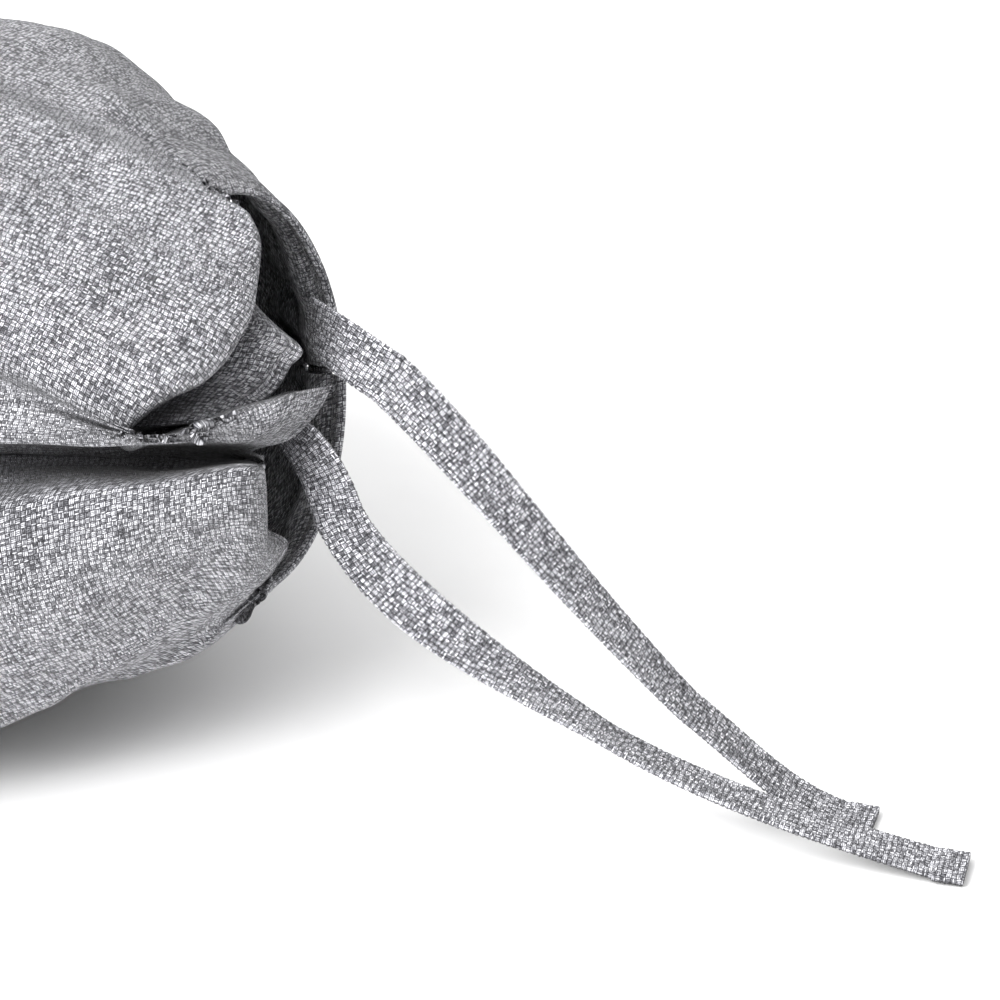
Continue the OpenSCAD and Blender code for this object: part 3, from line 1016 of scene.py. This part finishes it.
make_tail(
    "upper",
    (
        (UPPER_IN, UPPER_IN + [6, -10, 4], UPPER_EXIT + [-16, -1, 9], UPPER_EXIT),
        (UPPER_EXIT, UPPER_EXIT + [27, 0, -22], UPPER_MID + [-44, -3, 42], UPPER_MID),
        (UPPER_MID, UPPER_MID + [20, 2, -15], UPPER_TIP + [-20, -2, 4.5], UPPER_TIP),
    ),
    (
        ((-0.1, 0.3, 0.95), (0.37, 0.56, 0.74)),
        ((0.37, 0.56, 0.74), (-0.05, 1, 0.05)),
        ((-0.05, 1, 0.05), FLAT_ON_FLOOR),
    ),
    "upper_root", "upper_middle", "upper_end",
    ("upper_tail_swing", "upper_tail_lift"),
    ("upper_tail_root", "upper_tail_middle", "upper_tail_end", "upper_tail_hem"),
)
make_tail(
    "lower",
    (
        (LOWER_IN, LOWER_IN + [16, -2, 4], LOWER_EXIT + [-7, 2, 22], LOWER_EXIT),
        (LOWER_EXIT, LOWER_EXIT + [14, 0, -28], LOWER_MID + [-32, 0, 14.5], LOWER_MID),
        (LOWER_MID, LOWER_MID + [36, 0, -16], LOWER_TIP + [-26, -4, 6], LOWER_TIP),
    ),
    (
        ((0.45, -0.5, 0.6), (0.75, 0.15, 0.55)),
        ((0.75, 0.15, 0.55), (-0.1, 0.98, -0.15)),
        ((-0.1, 0.98, -0.15), FLAT_ON_FLOOR),
    ),
    "lower_root", "lower_middle", "lower_end",
    ("lower_tail_swing", "lower_tail_lift"),
    ("lower_tail_root", "lower_tail_middle", "lower_tail_end", "lower_tail_hem"),
)


def make_loop():
    """The length of the tie inside the casing, which turns with the pull on its tails."""
    angle = np.arange(-78, 64, 0.4)
    middle = casing_ring(angle, 14.4) - 2.6 * unit(
        casing_ring(angle, 14.4) - MOUTH + 40 * MOUTH_OUT
    )
    wide = casing_ring(angle, 20.0) - casing_ring(angle, 8.0)
    band = flat_tie("drawstring_loop_band", middle, wide, TIE_W / 2, TIE_T / 2, 0.8)
    dress(band, TIE_CLOTH, "tie_fabric", "drawstring_loop")
    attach(band, "loop")


make_loop()

# ---------------------------------------------------------------- floor, light and camera


def make_floor():
    half = 4000
    corners = [(-half, -half, 0), (half, -half, 0), (half, half, 0), (-half, half, 0)]
    floor = make_object("floor", np.array(corners, float) - [0, 0, 0.3], [(0, 1, 2, 3)])
    floor.data.materials.append(floor_material("pale_floor"))


def make_light(name, place, aim, size, power):
    """A soft square light that looks at a point, both in millimetres."""
    data = bpy.data.lights.new(name, "AREA")
    data.size = size * MM
    data.energy = power
    lamp = bpy.data.objects.new(name, data)
    lamp.location = Vector(place) * MM
    direction = Vector(aim) - Vector(place)
    lamp.rotation_euler = direction.to_track_quat("-Z", "Y").to_euler()
    bpy.context.scene.collection.objects.link(lamp)


def make_world(towards, dark, bright):
    """White surroundings that are bright towards one direction and dark on the opposite side."""
    world = bpy.data.worlds.new("studio")
    world.use_nodes = True
    nodes, links = world.node_tree.nodes, world.node_tree.links
    background = nodes["Background"]
    background.inputs["Color"].default_value = (1, 1, 1, 1)
    alignment = nodes.new("ShaderNodeVectorMath")
    alignment.operation = "DOT_PRODUCT"
    alignment.inputs[1].default_value = unit(np.array(towards, float))
    strength = nodes.new("ShaderNodeMapRange")
    for name, value in (("From Min", -0.6), ("To Min", dark), ("To Max", bright)):
        strength.inputs[name].default_value = value
    links.new(nodes.new("ShaderNodeTexCoord").outputs["Generated"], alignment.inputs[0])
    links.new(alignment.outputs["Value"], strength.inputs["Value"])
    links.new(strength.outputs["Result"], background.inputs["Strength"])
    bpy.context.scene.world = world


def make_camera():
    """A long lens that looks 20 degrees round and 28 degrees down at the mouth and the tails."""
    round_bag, down = math.radians(20), math.radians(28)
    right = np.array([math.cos(round_bag), math.sin(round_bag), 0])
    level = np.array([math.sin(round_bag), -math.cos(round_bag), 0])
    back = level * math.cos(down) + np.array([0, 0, math.sin(down)])
    up = np.cross(back, right)
    target = np.array([245, 0, 125]) + 58.6 * right - 33.0 * up
    distance, frame_width, sensor = 2400, 300.3, 36.0
    data = bpy.data.cameras.new("camera")
    data.sensor_width = sensor
    data.lens = sensor * distance / frame_width
    data.clip_end = 100
    camera = bpy.data.objects.new("camera", data)
    camera.location = Vector((target + back * distance) * MM)
    camera.rotation_euler = Vector(-back).to_track_quat("-Z", "Y").to_euler()
    bpy.context.scene.collection.objects.link(camera)
    bpy.context.scene.camera = camera


make_floor()
make_world((-0.55, -0.5, 0.67), 0.2, 1.75)
make_light("key", (-350, -1300, 1350), (200, 0, 80), 1200, 62)
make_camera()
bpy.context.scene.view_settings.view_transform = "Standard"
